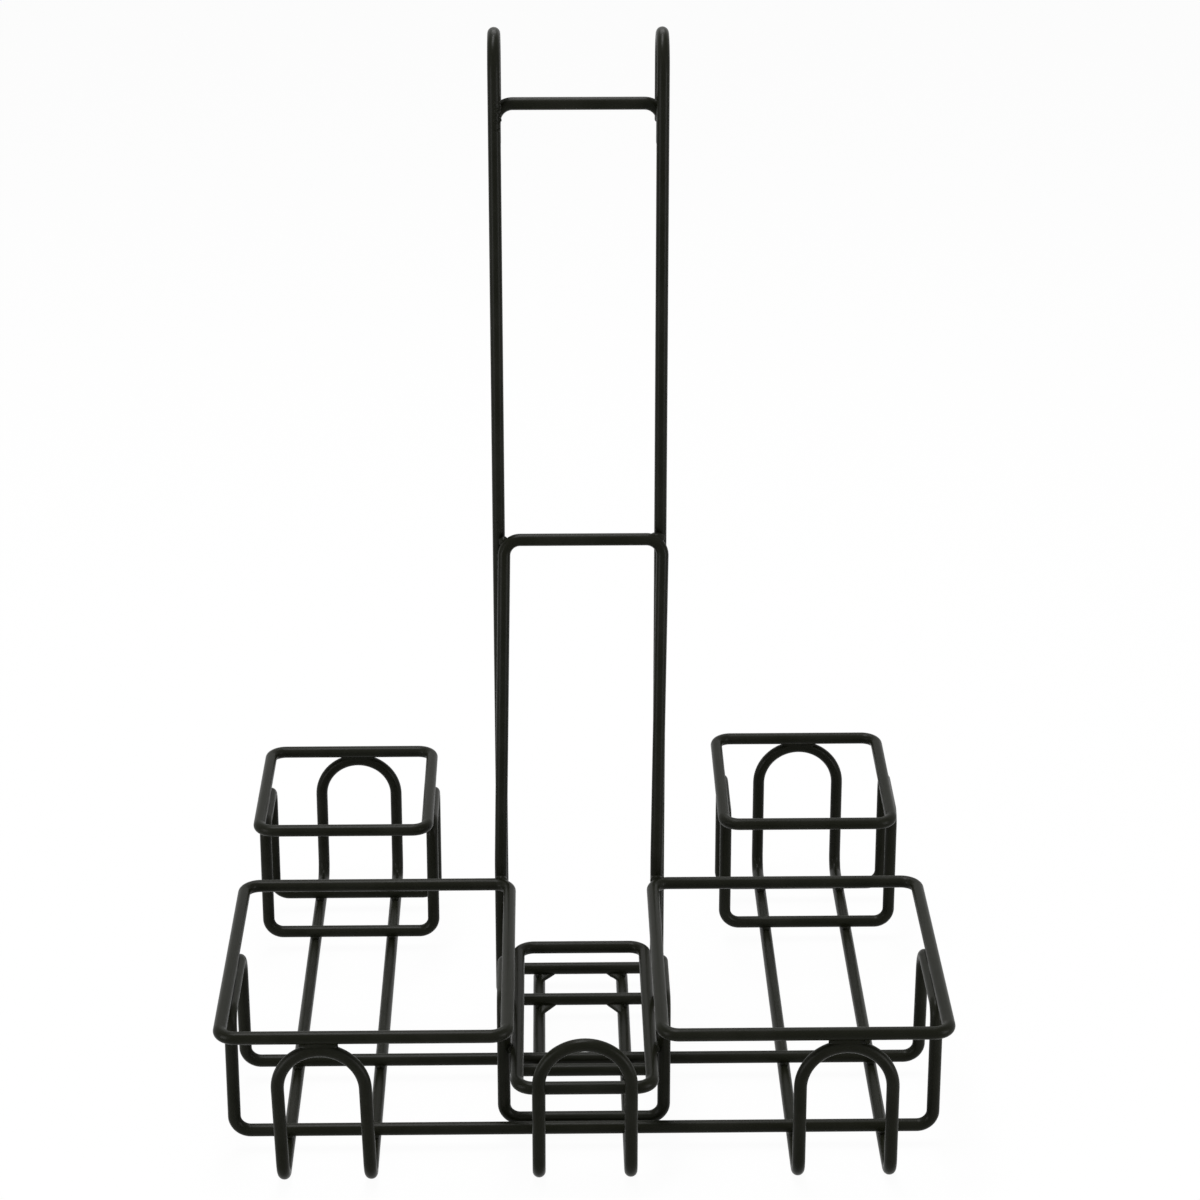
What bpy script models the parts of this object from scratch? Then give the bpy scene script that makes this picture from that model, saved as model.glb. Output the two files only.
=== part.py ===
"""Condiment caddy: fifteen bent wires, spot-welded where they cross and coated black.

Metres, +Z up. The front, with the two large rings, faces -Y. The origin lies on the
table, in the middle of the footprint.
"""
import math

import bmesh
import bpy
from mathutils import Matrix, Vector

# Wire
WIRE = 0.0048
WELD_GAP = 0.0003
SIDES = 12
FACET_SAG = 0.00015

# Bends, at the middle of the wire
RING_BEND = 0.0062
CRADLE_BEND = 0.0060
FOOT_BEND = 0.0072
FRAME_BEND = 0.0062
CROSSBAR_BEND = 0.0068
KNEE_BEND = 0.0200
LONG_RAIL_REAR_BEND = 0.0100

# Sleds: each runs from a front arch along the table to a rear arch
DEPTH = 0.2610
SLED_INSET = 0.0369
ARCH_WIDTH = 0.0336
CENTRE_ARCH_HEIGHT = 0.0572
REAR_ARCH_SETBACK = 0.0021

# Rings
RING_HEIGHT = 0.0610
LARGE_RING_WIDTH = 0.1037
LARGE_RING_DEPTH = 0.1250
AISLE = 0.0560
SMALL_RING_WIDTH = 0.0684
SMALL_RING_DEPTH = 0.0794
CENTRE_RING_HEIGHT = 0.0369
CENTRE_RING_DEPTH = 0.1126

# Cradles: each hangs under its rings and lies on the runners
RAIL_INSET = 0.0018
LONG_CRADLE_SETBACK = 0.0280
LONG_CRADLE_LENGTH = 0.0532
LONG_CRADLE_LEAN = 0.0035
SHORT_CRADLE_LENGTH = 0.0366
CENTRE_CRADLE_SETBACK = 0.0354
LEFT_CRADLE_SETBACK = 0.0159
RIGHT_CRADLE_SETBACK = 0.0184

# The left and right sides differ, as the hand-welded caddy does
LEFT_SLED_SHORTER = 0.0034
LEFT_SLED_NARROWER = 0.0018
LEFT_SLED_SHIFT = 0.0007
LEFT_ARCH_LEAN = 0.0016
RIGHT_RING_RISE = 0.0034
SMALL_RING_SHIFT = 0.0015

# Handle, its brace and its crossbar
HANDLE_SETBACK = 0.1569
HANDLE_SPAN = 0.0626
HANDLE_TOP = 0.3886
HOOK_SPAN = 0.0240
HOOK_LENGTH = 0.0363
CROSSBAR_DROP = 0.0246
CROSSBAR_LEG = 0.0160
BRACE_HEIGHT = 0.1951
BRACE_CLEARANCE = 0.0007
BRACE_TOP_SHIFT = 0.0016
BRACE_FOOT_SHIFT = -0.0009
KNEE_RISE = 0.0080
RUNNER_OVERHANG = 0.0040

# Coating, as the photograph shows it
COATING_COLOUR = (0.016, 0.016, 0.014, 1.0)
COATING_ROUGHNESS = 0.38

# Worked out from the sizes above
SEAT = WIRE + WELD_GAP
RUNNER_Z = WIRE / 2
BAR_Z = RUNNER_Z + SEAT
FRONT_Y = -DEPTH / 2
REAR_Y = DEPTH / 2
LEFT_REAR_Y = REAR_Y - LEFT_SLED_SHORTER
LARGE_INNER_X = AISLE / 2
LARGE_OUTER_X = LARGE_INNER_X + LARGE_RING_WIDTH
LARGE_BACK_Y = FRONT_Y + LARGE_RING_DEPTH
SLED_MIDDLE = LARGE_OUTER_X - SLED_INSET
CENTRE_CRADLE_X = LARGE_INNER_X + RAIL_INSET
CENTRE_RING_X = CENTRE_CRADLE_X - SEAT
HANDLE_Y = FRONT_Y + HANDLE_SETBACK
BRACE_FOOT_Y = LARGE_BACK_Y + SEAT
VERTEX_RADIUS = WIRE / 2 / math.cos(math.pi / SIDES)
MERGE = 0.00005


def drop_under(inset):
    """How far a wire lies below another that it touches, when set this far to one side."""
    return math.sqrt(SEAT ** 2 - inset ** 2)


def clear_scene():
    for old in list(bpy.data.objects):
        bpy.data.objects.remove(old, do_unlink=True)


def coating(name):
    """Satin black powder coating."""
    material = bpy.data.materials.new(name + "_coating")
    material.use_nodes = True
    shader = material.node_tree.nodes["Principled BSDF"]
    shader.inputs["Base Color"].default_value = COATING_COLOUR
    shader.inputs["Roughness"].default_value = COATING_ROUGHNESS
    shader.inputs["Metallic"].default_value = 0.0
    material.diffuse_color = COATING_COLOUR
    return material


class WireBender:
    """Feeds and bends one round wire, as a forming machine does."""

    def __init__(self, start, heading):
        self.mesh = bmesh.new()
        self.tip = Vector(start)
        self.heading = heading
        facing = heading.to_track_quat("Z", "Y").to_matrix().to_4x4()
        flats_out = Matrix.Rotation(math.pi / SIDES, 4, "Z")
        bmesh.ops.create_circle(
            self.mesh, segments=SIDES, radius=VERTEX_RADIUS,
            matrix=Matrix.Translation(self.tip) @ facing @ flats_out)
        self.rim = list(self.mesh.edges)

    def feed(self, length):
        """Push the wire straight on."""
        if length < MERGE:
            return
        grown = bmesh.ops.extrude_edge_only(self.mesh, edges=self.rim)["geom"]
        verts = [part for part in grown if isinstance(part, bmesh.types.BMVert)]
        new = set(verts)
        self.rim = [part for part in grown
                    if isinstance(part, bmesh.types.BMEdge) and new.issuperset(part.verts)]
        bmesh.ops.translate(self.mesh, verts=verts, vec=self.heading * length)
        self.tip += self.heading * length

    def bend(self, onward, radius):
        """Bend the wire until it heads onward."""
        angle = self.heading.angle(onward)
        toward = (onward - self.heading * self.heading.dot(onward)).normalized()
        centre = self.tip + toward * radius
        axis = self.heading.cross(toward)
        step = 2 * math.acos(1 - FACET_SAG / radius)
        turned = bmesh.ops.spin(
            self.mesh, geom=self.rim, cent=centre, axis=axis, angle=angle,
            steps=math.ceil(angle / step), use_duplicate=False)["geom_last"]
        self.rim = [part for part in turned if isinstance(part, bmesh.types.BMEdge)]
        self.tip = centre + Matrix.Rotation(angle, 3, axis) @ (self.tip - centre)
        self.heading = onward

    def finish(self, name, closed):
        """Butt-weld a loop's ends, or cut them square, and make the object."""
        if closed:
            bmesh.ops.remove_doubles(self.mesh, verts=self.mesh.verts, dist=MERGE)
        else:
            ends = [edge for edge in self.mesh.edges if edge.is_boundary]
            bmesh.ops.holes_fill(self.mesh, edges=ends, sides=SIDES)
        bmesh.ops.recalc_face_normals(self.mesh, faces=self.mesh.faces)
        shape = bpy.data.meshes.new(name)
        self.mesh.to_mesh(shape)
        self.mesh.free()
        shape.shade_smooth()
        shape.set_sharp_from_angle(angle=math.radians(50))
        shape.materials.append(coating(name))
        piece = bpy.data.objects.new(name, shape)
        bpy.context.scene.collection.objects.link(piece)
        return piece


def wire(name, corners, closed=True):
    """A wire through its corner points, each given with the radius of its bend."""
    points = [Vector(point) for point, _ in corners]
    radii = [radius for _, radius in corners]
    if closed:
        start = (points[-1] + points[0]) / 2
        points = [start] + points + [start]
        radii = [0.0] + radii + [0.0]
    bender = WireBender(points[0], (points[1] - points[0]).normalized())
    used = 0.0
    for i in range(1, len(points) - 1):
        onward = (points[i + 1] - points[i]).normalized()
        reach = radii[i] * math.tan(bender.heading.angle(onward) / 2)
        bender.feed((points[i] - points[i - 1]).length - used - reach)
        bender.bend(onward, radii[i])
        used = reach
    bender.feed((points[-1] - points[-2]).length - used)
    return bender.finish(name, closed)


def ring(name, left, right, front, back, height, rise=0.0):
    """A rectangular loop that holds a bottle or a caddy insert upright."""
    top = height + rise
    wire(name, [((left, front, height), RING_BEND), ((right, front, height), RING_BEND),
                ((right, back, top), RING_BEND), ((left, back, top), RING_BEND)])


def cradle(name, left, right, front, length, top, rise=0.0, lean=0.0, rear_bend=CRADLE_BEND):
    """A loop bent into two uprights a side: rails under the ring, bars on the runners."""
    back = front + length
    rail_end = (back - lean, top + rise)
    wire(name, [((right, front, BAR_Z), CRADLE_BEND), ((right, front, top), CRADLE_BEND),
                ((right, *rail_end), rear_bend), ((right, back, BAR_Z), CRADLE_BEND),
                ((left, back, BAR_Z), CRADLE_BEND), ((left, *rail_end), rear_bend),
                ((left, front, top), CRADLE_BEND), ((left, front, BAR_Z), CRADLE_BEND)])


def sled(name, middle, width, rear, rear_top, lean=0.0):
    """A loop with two runners and an arch at each end; the front arch may lean to the left."""
    left = middle - width / 2
    right = middle + width / 2
    front_top = RING_HEIGHT - SEAT
    arch = width / 2
    piece = wire(name, [
        ((left, FRONT_Y, RUNNER_Z), FOOT_BEND), ((left, FRONT_Y, front_top), arch),
        ((right, FRONT_Y, front_top), arch), ((right, FRONT_Y, RUNNER_Z), FOOT_BEND),
        ((right, rear, RUNNER_Z), FOOT_BEND), ((right, rear, rear_top), arch),
        ((left, rear, rear_top), arch), ((left, rear, RUNNER_Z), FOOT_BEND)])
    slant = lean / (front_top - RUNNER_Z)
    for vert in piece.data.vertices:
        if vert.co.y < FRONT_Y + FOOT_BEND - MERGE:
            vert.co.x -= slant * (vert.co.z - RUNNER_Z)


def centre_sled():
    """An open wire: one front arch, with runners that end under the handle."""
    half = ARCH_WIDTH / 2
    end = HANDLE_Y + RUNNER_OVERHANG
    wire("centre_sled",
         [((-half, end, RUNNER_Z), 0.0), ((-half, FRONT_Y, RUNNER_Z), FOOT_BEND),
          ((-half, FRONT_Y, CENTRE_ARCH_HEIGHT), half), ((half, FRONT_Y, CENTRE_ARCH_HEIGHT), half),
          ((half, FRONT_Y, RUNNER_Z), FOOT_BEND), ((half, end, RUNNER_Z), 0.0)],
         closed=False)


def handle():
    """Two tall uprights joined at the table, each rolled over backwards at the top."""
    half = HANDLE_SPAN / 2
    roll = HOOK_SPAN / 2
    hook_y = HANDLE_Y + HOOK_SPAN
    tip = HANDLE_TOP - HOOK_LENGTH
    wire("handle",
         [((-half, hook_y, tip), 0.0), ((-half, hook_y, HANDLE_TOP), roll),
          ((-half, HANDLE_Y, HANDLE_TOP), roll), ((-half, HANDLE_Y, BAR_Z), FRAME_BEND),
          ((half, HANDLE_Y, BAR_Z), FRAME_BEND), ((half, HANDLE_Y, HANDLE_TOP), roll),
          ((half, hook_y, HANDLE_TOP), roll), ((half, hook_y, tip), 0.0)],
         closed=False)


def handle_crossbar():
    """A staple across the uprights, its short legs welded behind them."""
    half = HANDLE_SPAN / 2
    back = HANDLE_Y + SEAT
    top = HANDLE_TOP - CROSSBAR_DROP
    foot = top - CROSSBAR_LEG
    wire("handle_crossbar",
         [((-half, back, foot), 0.0), ((-half, back, top), CROSSBAR_BEND),
          ((half, back, top), CROSSBAR_BEND), ((half, back, foot), 0.0)],
         closed=False)


def brace():
    """A loop that stands behind the large rings and leans back on the handle."""
    half = HANDLE_SPAN / 2 - BRACE_CLEARANCE
    foot_left = BRACE_FOOT_SHIFT - half
    foot_right = BRACE_FOOT_SHIFT + half
    top_left = (BRACE_TOP_SHIFT - half, HANDLE_Y - SEAT, BRACE_HEIGHT)
    top_right = (BRACE_TOP_SHIFT + half, HANDLE_Y - SEAT, BRACE_HEIGHT)
    knee = RING_HEIGHT + KNEE_RISE
    wire("brace",
         [((foot_left, BRACE_FOOT_Y, BAR_Z), FRAME_BEND),
          ((foot_left, BRACE_FOOT_Y, knee), KNEE_BEND),
          (top_left, FRAME_BEND), (top_right, FRAME_BEND),
          ((foot_right, BRACE_FOOT_Y, knee), KNEE_BEND),
          ((foot_right, BRACE_FOOT_Y, BAR_Z), FRAME_BEND)])


def outer_sleds():
    """The left one is shorter and narrower than the right one, and its front arch leans."""
    rear_top = RING_HEIGHT - drop_under(REAR_ARCH_SETBACK)
    sled("left_sled", LEFT_SLED_SHIFT - SLED_MIDDLE, ARCH_WIDTH - LEFT_SLED_NARROWER,
         LEFT_REAR_Y, rear_top, LEFT_ARCH_LEAN)
    sled("right_sled", SLED_MIDDLE, ARCH_WIDTH, REAR_Y, rear_top + RIGHT_RING_RISE)


def rear_end(side, middle, rear, rise, cradle_setback):
    """One side's small ring, on its sled's rear arch, and the cradle under the ring."""
    left = middle - SMALL_RING_WIDTH / 2
    right = middle + SMALL_RING_WIDTH / 2
    back = rear - REAR_ARCH_SETBACK
    front = back - SMALL_RING_DEPTH
    ring(side + "_small_ring", left - SMALL_RING_SHIFT, right - SMALL_RING_SHIFT, front, back,
         RING_HEIGHT, rise)
    slope = rise / SMALL_RING_DEPTH
    rail = RING_HEIGHT + slope * cradle_setback - drop_under(SMALL_RING_SHIFT)
    cradle(side + "_small_cradle", left, right, front + cradle_setback, SHORT_CRADLE_LENGTH,
           rail, slope * SHORT_CRADLE_LENGTH)


def front_rings():
    """The two large rings and the narrow one between them."""
    ring("left_large_ring", -LARGE_OUTER_X, -LARGE_INNER_X, FRONT_Y, LARGE_BACK_Y, RING_HEIGHT)
    ring("right_large_ring", LARGE_INNER_X, LARGE_OUTER_X, FRONT_Y, LARGE_BACK_Y, RING_HEIGHT)
    front = FRONT_Y + SEAT
    ring("centre_ring", -CENTRE_RING_X, CENTRE_RING_X,
         front, front + CENTRE_RING_DEPTH, CENTRE_RING_HEIGHT)


def front_cradles():
    """The long one under the outer sides of the large rings, the short one under the inner."""
    rail_z = RING_HEIGHT - drop_under(RAIL_INSET)
    long_x = LARGE_OUTER_X - RAIL_INSET
    cradle("long_cradle", -long_x, long_x, FRONT_Y + LONG_CRADLE_SETBACK, LONG_CRADLE_LENGTH,
           rail_z, lean=LONG_CRADLE_LEAN, rear_bend=LONG_RAIL_REAR_BEND)
    cradle("centre_cradle", -CENTRE_CRADLE_X, CENTRE_CRADLE_X,
           FRONT_Y + CENTRE_CRADLE_SETBACK, SHORT_CRADLE_LENGTH, rail_z)


def main():
    clear_scene()
    outer_sleds()
    rear_end("left", -SLED_MIDDLE, LEFT_REAR_Y, 0.0, LEFT_CRADLE_SETBACK)
    rear_end("right", SLED_MIDDLE, REAR_Y, RIGHT_RING_RISE, RIGHT_CRADLE_SETBACK)
    centre_sled()
    front_rings()
    front_cradles()
    handle()
    handle_crossbar()
    brace()


main()
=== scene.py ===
"""Condiment caddy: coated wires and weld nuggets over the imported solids, on a studio floor."""
import math
import random

import bmesh
import bpy
from mathutils import Matrix, Vector, noise


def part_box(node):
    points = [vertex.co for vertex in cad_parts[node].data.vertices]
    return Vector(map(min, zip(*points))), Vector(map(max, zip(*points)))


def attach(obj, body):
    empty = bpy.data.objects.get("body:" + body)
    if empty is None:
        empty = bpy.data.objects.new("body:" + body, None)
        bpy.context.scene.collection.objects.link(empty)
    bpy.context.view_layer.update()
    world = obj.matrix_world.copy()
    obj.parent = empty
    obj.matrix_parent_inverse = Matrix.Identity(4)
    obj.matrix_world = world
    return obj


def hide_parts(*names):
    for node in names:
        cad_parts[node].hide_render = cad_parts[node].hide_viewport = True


bl_info = {
    "name": "Condiment Caddy",
    "version": (1, 0, 0),
    "blender": (4, 5, 0),
    "location": "3D View > Sidebar > Caddy",
    "description": "Bends and welds the wires of a table caddy and sets up its studio",
    "category": "Add Mesh",
}

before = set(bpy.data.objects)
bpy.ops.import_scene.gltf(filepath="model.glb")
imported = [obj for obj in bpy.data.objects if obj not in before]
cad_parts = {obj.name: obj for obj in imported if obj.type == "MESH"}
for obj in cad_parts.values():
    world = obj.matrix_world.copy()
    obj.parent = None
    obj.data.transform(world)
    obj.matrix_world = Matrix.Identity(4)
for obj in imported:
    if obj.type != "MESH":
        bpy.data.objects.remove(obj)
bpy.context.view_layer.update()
BODY = "root"

CROSSBAR_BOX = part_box("handle_crossbar")
WIRE = CROSSBAR_BOX[1][1] - CROSSBAR_BOX[0][1]
HALF = WIRE / 2


class Reach:
    """The middles of a node's outermost wires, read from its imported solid."""

    def __init__(self, node):
        low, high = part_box(node)
        self.left, self.front, self.low = (value + HALF for value in low)
        self.right, self.back, self.top = (value - HALF for value in high)


NODES = {node: Reach(node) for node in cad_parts}
HANDLE = NODES["handle"]
BRACE = NODES["brace"]
CROSSBAR = NODES["handle_crossbar"]
CENTRE_SLED = NODES["centre_sled"]
CENTRE_RING = NODES["centre_ring"]
CENTRE_CRADLE = NODES["centre_cradle"]
LONG_CRADLE = NODES["long_cradle"]
RUNNER_Z = HALF
BAR_Z = CENTRE_CRADLE.low
SEAT = BAR_Z - RUNNER_Z
RING_Z = NODES["right_large_ring"].low
LARGE_BACK_Y = NODES["right_large_ring"].back
CROSSBAR_FOOT = CROSSBAR_BOX[0][2]
CENTRE_RUNNER_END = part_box("centre_sled")[1][1]
SIDES = ("left", "right")

MERGE = 0.00005
SHARP_ANGLE = math.radians(60.0)

# The coating: its noises, and how much each adds to the dust, the gloss and the relief.
CLOUD = {"Scale": 55.0, "Detail": 3.0, "Roughness": 0.55}
GRIT = {"Scale": 1900.0, "Detail": 2.0, "Roughness": 0.6}
PEEL = {"Scale": 620.0, "Detail": 2.0, "Roughness": 0.5}
WAVE = {"Scale": 130.0, "Detail": 1.0, "Roughness": 0.4}
SHIFT_PER_PIECE = (0.37, 0.21, 0.13)
PATCH_STOPS = ((0.42, 0.0), (0.72, 1.0))
SPECK_STOPS = ((0.60, 0.0), (0.74, 1.0))
PATCH_DUST, SPECK_DUST = 0.45, 0.35
NOISE_MEAN = 0.5
CLOUD_GLOSS, GRIT_GLOSS = 0.16, 0.12
PEEL_RELIEF, WAVE_RELIEF, GRIT_RELIEF = 0.55, 0.9, 0.12
RELIEF_STRENGTH = 0.55

# The weld metal: how fine its lumps are, and the proportions of each shape.
NUGGET_LUMPS, SEAM_LUMPS, GUSSET_LUMPS = 700.0, 900.0, 600.0
SHIFT_PER_SEED = (7.3, 3.1, 5.7)
NUGGET_SPREAD = (0.92, 1.1)
NUGGET_WAIST, NUGGET_FLARE = 0.82, 0.38
BRACE_NUGGET = 1.35
FILLET_STEPS = 3
FILLET_OVERLAP = 0.00006
SEAM_STATIONS = 13
SEAM_TAPER, SEAM_TAPER_POWER = 0.62, 4
GUSSET_SUNK, GUSSET_SIDE, GUSSET_SLACK = HALF * 0.7, HALF * 0.66, HALF * 0.45
GUSSET_CUTS, GUSSET_SMOOTHINGS = 5, 3
DROP_RADII = (0.00035, 0.0008)
DROP_SUNK = 0.35

# The hand welds of the handle: lengths in metres, from the middles or fronts of the wires.
BRACE_WELD_DROP = 0.0045
CROSSBAR_WELD_FOOT, CROSSBAR_WELD_HEAD = 0.0005, 0.002
CROSSBAR_SPATTER_DROP, BRACE_SPATTER_RISE = 0.004, 0.0048
LEFT_DAB = ((0.0021, -0.0015, -0.0010), (0.0020, 0.0017, 0.0018))
RIGHT_DAB = ((-0.0017, -0.0016, 0.0002), (0.0034, 0.0020, 0.0020))
PIT_INWARD, PIT_SUNK, PIT_DROP = 0.0001, 0.0001, 0.0034
PIT_RADIUS, PIT_RIM = 0.0008, 0.00022

# Each lamp's name, its power's property, its width, its depth, its place and what it lights.
LAMPS = (
    ("key_lamp", "key_power", 1.0, 0.4, (-0.2, 0.2, 1.8), (0.0, 0.1, 0.1)),
    ("back_lamp", "back_power", 0.6, 0.3, (0.0, 0.75, 1.05), (0.0, 0.05, 0.3)),
    ("left_lamp", "left_power", 0.4, 1.5, (-1.5, -1.2, 0.7), (0.0, 0.0, 0.2)),
    ("right_lamp", "right_power", 0.4, 1.5, (1.5, -1.1, 0.7), (0.0, 0.0, 0.2)),
    ("low_left_lamp", "low_left_power", 0.22, 0.40, (-0.62, -0.36, 0.15), (0.0, 0.0, 0.15)),
    ("low_right_lamp", "low_right_power", 0.22, 0.40, (0.62, -0.36, 0.15), (0.0, 0.0, 0.15)),
)


class CaddyWireSizes(bpy.types.PropertyGroup):
    """How finely and how tightly the wires are bent."""

    sides: bpy.props.IntProperty(
        name="Sides", description="Flats around a wire", default=28, min=8, max=64)
    bend_step: bpy.props.FloatProperty(
        name="Bend step", description="Turn between two rings of points in a bend",
        default=math.radians(5.0), subtype="ANGLE", unit="ROTATION")
    feed_step: bpy.props.FloatProperty(
        name="Feed step", description="Longest straight between two rings of points",
        default=0.012, subtype="DISTANCE", unit="LENGTH")
    ring_bend: bpy.props.FloatProperty(
        name="Ring bend", description="Bend radius of a ring's corners",
        default=0.0062, subtype="DISTANCE", unit="LENGTH")
    cradle_bend: bpy.props.FloatProperty(
        name="Cradle bend", description="Bend radius of a cradle's corners",
        default=0.0060, subtype="DISTANCE", unit="LENGTH")
    foot_bend: bpy.props.FloatProperty(
        name="Foot bend", description="Bend radius where a leg becomes a runner",
        default=0.0072, subtype="DISTANCE", unit="LENGTH")
    frame_bend: bpy.props.FloatProperty(
        name="Frame bend", description="Bend radius of the handle's foot and the brace",
        default=0.0062, subtype="DISTANCE", unit="LENGTH")
    crossbar_bend: bpy.props.FloatProperty(
        name="Crossbar bend", description="Bend radius of the top crossbar",
        default=0.0068, subtype="DISTANCE", unit="LENGTH")
    knee_bend: bpy.props.FloatProperty(
        name="Knee bend", description="Bend radius where the brace starts to lean",
        default=0.020, subtype="DISTANCE", unit="LENGTH")
    knee_rise: bpy.props.FloatProperty(
        name="Knee rise", description="Height of the brace's knee over the rings",
        default=0.008, subtype="DISTANCE", unit="LENGTH")
    rail_rear_bend: bpy.props.FloatProperty(
        name="Rail rear bend", description="Bend radius at the back of the long cradle's rails",
        default=0.010, subtype="DISTANCE", unit="LENGTH")
    cradle_lean: bpy.props.FloatProperty(
        name="Cradle lean", description="How far the long cradle's rear uprights lean forward",
        default=0.0035, subtype="DISTANCE", unit="LENGTH")
    left_sled_width: bpy.props.FloatProperty(
        name="Left sled width", description="Between the left sled's runners, which lie closer",
        default=0.0318, subtype="DISTANCE", unit="LENGTH")
    left_arch_lean: bpy.props.FloatProperty(
        name="Left arch lean", description="How far the top of the left front arch leans out",
        default=0.0016, subtype="DISTANCE", unit="LENGTH")
    hook_length: bpy.props.FloatProperty(
        name="Hook length", description="From the top of the handle down to a hook's cut end",
        default=0.0363, subtype="DISTANCE", unit="LENGTH")
    brace_clearance: bpy.props.FloatProperty(
        name="Brace clearance", description="How much narrower each side of the brace is",
        default=0.0007, subtype="DISTANCE", unit="LENGTH")
    end_round: bpy.props.FloatProperty(
        name="End rounding", description="Radius on the rim of a cut wire end",
        default=0.0012, subtype="DISTANCE", unit="LENGTH")


class CaddyWelds(bpy.types.PropertyGroup):
    """Sizes of the weld metal."""

    nugget_radius: bpy.props.FloatProperty(
        name="Nugget radius", description="Radius of the weld where two wires cross",
        default=0.0024, subtype="DISTANCE", unit="LENGTH")
    nugget_height: bpy.props.FloatProperty(
        name="Nugget height", description="Half height of the weld where two wires cross",
        default=0.0013, subtype="DISTANCE", unit="LENGTH")
    arch_length: bpy.props.FloatProperty(
        name="Arch weld", description="Length of the weld between an arch and its ring",
        default=0.014, subtype="DISTANCE", unit="LENGTH")
    seam_length: bpy.props.FloatProperty(
        name="Seam", description="Length of a weld between wires that lie side by side",
        default=0.013, subtype="DISTANCE", unit="LENGTH")
    spread: bpy.props.FloatProperty(
        name="Spread", description="How far round each wire a fillet reaches",
        default=math.radians(44.0), subtype="ANGLE", unit="ROTATION")
    gusset_width: bpy.props.FloatProperty(
        name="Gusset width", description="Reach of a corner gusset along its bar",
        default=0.0048, subtype="DISTANCE", unit="LENGTH")
    handle_gusset: bpy.props.FloatProperty(
        name="Handle gusset", description="Reach of the handle's gussets along the runners",
        default=0.0024, subtype="DISTANCE", unit="LENGTH")
    brace_gusset: bpy.props.FloatProperty(
        name="Brace gusset", description="Reach of the brace's gussets along the runners",
        default=0.0040, subtype="DISTANCE", unit="LENGTH")
    bead_radius: bpy.props.FloatProperty(
        name="Bead", description="Radius of the bead at the end of the right arch's weld",
        default=0.0011, subtype="DISTANCE", unit="LENGTH")
    lumps: bpy.props.FloatProperty(
        name="Lumps", description="Height of the lumps on smooth weld metal",
        default=0.00018, subtype="DISTANCE", unit="LENGTH")
    rough_lumps: bpy.props.FloatProperty(
        name="Rough lumps", description="Height of the lumps on the hand welds of the handle",
        default=0.0006, subtype="DISTANCE", unit="LENGTH")


class CaddyFinish(bpy.types.PropertyGroup):
    """The black coating."""

    colour: bpy.props.FloatVectorProperty(
        name="Coating", description="Colour of the powder coating",
        default=(0.0060, 0.0065, 0.0035), subtype="COLOR", size=3, min=0.0, max=1.0)
    dusty: bpy.props.FloatVectorProperty(
        name="Dusty coating", description="Colour where the coating is thin or rubbed",
        default=(0.0148, 0.0151, 0.0116), subtype="COLOR", size=3, min=0.0, max=1.0)
    gloss: bpy.props.FloatProperty(
        name="Roughness", description="Roughness of the smooth coating",
        default=0.34, subtype="FACTOR", min=0.0, max=1.0)
    specular: bpy.props.FloatProperty(
        name="Specular", description="Strength of the coating's mirror-like share",
        default=0.06, subtype="FACTOR", min=0.0, max=1.0)
    peel: bpy.props.FloatProperty(
        name="Orange peel", description="Depth of the coating's orange peel",
        default=0.00005, subtype="DISTANCE", unit="LENGTH")


class CaddyStudio(bpy.types.PropertyGroup):
    """Camera, floor and lamps."""

    camera_place: bpy.props.FloatVectorProperty(
        name="Camera place", description="Where the photograph was taken from",
        default=(-0.01228, -1.24496, 0.66087), subtype="TRANSLATION", unit="LENGTH", size=3)
    camera_pitch: bpy.props.FloatProperty(
        name="Camera pitch", description="How far the camera looks down",
        default=math.radians(21.183), subtype="ANGLE", unit="ROTATION")
    camera_yaw: bpy.props.FloatProperty(
        name="Camera yaw", description="How far the camera looks to the right",
        default=math.radians(0.9103), subtype="ANGLE", unit="ROTATION")
    lens: bpy.props.FloatProperty(
        name="Lens", description="Focal length on a 36 mm sensor, in millimetres",
        default=104.81, min=10.0, max=500.0)
    floor_colour: bpy.props.FloatVectorProperty(
        name="Floor", description="Colour of the studio floor",
        default=(0.80, 0.80, 0.80), subtype="COLOR", size=3, min=0.0, max=1.0)
    floor_size: bpy.props.FloatProperty(
        name="Floor size", description="Width of the studio floor",
        default=12.0, subtype="DISTANCE", unit="LENGTH")
    floor_glow: bpy.props.FloatProperty(
        name="Floor glow", description="How much of the floor's white the camera sees unlit",
        default=0.96, subtype="FACTOR", min=0.0, max=1.0)
    room_light: bpy.props.FloatProperty(
        name="Room light", description="Strength of the even light from all round",
        default=0.22, min=0.0, max=2.0)
    key_power: bpy.props.FloatProperty(
        name="Key power", description="Power of the wide lamp overhead",
        default=26.0, subtype="POWER", unit="POWER")
    back_power: bpy.props.FloatProperty(
        name="Back power", description="Power of the lamp above and behind, which lights the hooks",
        default=3.0, subtype="POWER", unit="POWER")
    left_power: bpy.props.FloatProperty(
        name="Left power", description="Power of the tall lamp at the front left",
        default=5.0, subtype="POWER", unit="POWER")
    right_power: bpy.props.FloatProperty(
        name="Right power", description="Power of the tall lamp at the front right",
        default=4.0, subtype="POWER", unit="POWER")
    low_left_power: bpy.props.FloatProperty(
        name="Low left power", description="Power of the small lamp low at the left",
        default=1.9, subtype="POWER", unit="POWER")
    low_right_power: bpy.props.FloatProperty(
        name="Low right power", description="Power of the small lamp low at the right",
        default=2.0, subtype="POWER", unit="POWER")


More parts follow.
